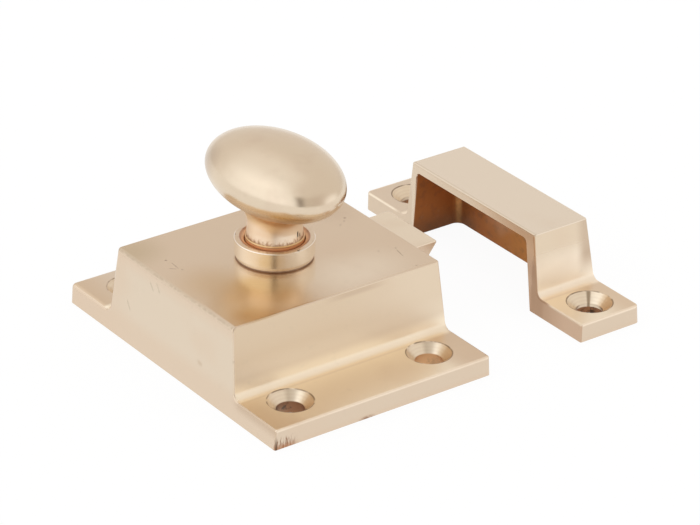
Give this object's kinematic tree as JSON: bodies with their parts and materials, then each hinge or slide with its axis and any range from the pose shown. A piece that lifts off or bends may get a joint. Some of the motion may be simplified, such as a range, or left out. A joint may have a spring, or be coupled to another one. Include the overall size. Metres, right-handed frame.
{
  "type": "cabinet latch",
  "caption": "Surface-mounted cupboard latch in cast satin brass: oval turn knob, sprung bevel bolt in a flanged case, and a separate box strike.",
  "frame": {"origin": "centre of the case's four screw holes, on the mounting surface under the case", "axes": "+X the way the bolt throws, towards the strike; +Y across the bolt, along the oval knob; +Z away from the mounting surface, along the knob's spindle"},
  "size_m": [0.0775, 0.0622, 0.0377],
  "materials": {
    "satin_brass": "brushed satin, unlacquered",
    "plain_brass": "machined, unpolished",
    "spring_steel": "drawn wire, oiled",
    "bright_steel": "zinc plated"
  },
  "bodies": {
    "latch_base": {"case": "satin_brass", "collar": "satin_brass", "thrust_washer": "plain_brass", "spring_pin": "bright_steel", "bolt_spring": "spring_steel", "back_plate": "plain_brass", "plate_screw_1": "plain_brass", "plate_screw_2": "plain_brass", "plate_screw_3": "plain_brass", "plate_screw_4": "plain_brass", "strike": "satin_brass"},
    "knob_unit": {"knob": "satin_brass", "spindle": "bright_steel", "crank": "bright_steel", "crank_pin": "bright_steel", "crank_screw": "bright_steel"},
    "bolt_unit": {"bolt": "satin_brass"}
  },
  "joints": [
    {"name": "knob_turn", "type": "hinge", "parent": "latch_base", "child": "knob_unit", "pos_m": [-0.0006, 0, 0.0161], "axis": [0, 0, 1], "range_deg": [-60, 0]},
    {"name": "bolt_slide", "type": "slide", "parent": "latch_base", "child": "bolt_unit", "axis": [1, 0, 0], "range_m": [-0.0075, 0], "stiffness_N_per_m": 400, "springref_m": 0.006, "deforming": ["bolt_spring"]}
  ],
  "couplings": [
    {"joint": "knob_turn", "follows": "bolt_slide", "rad_per_m": 139.63}
  ]
}
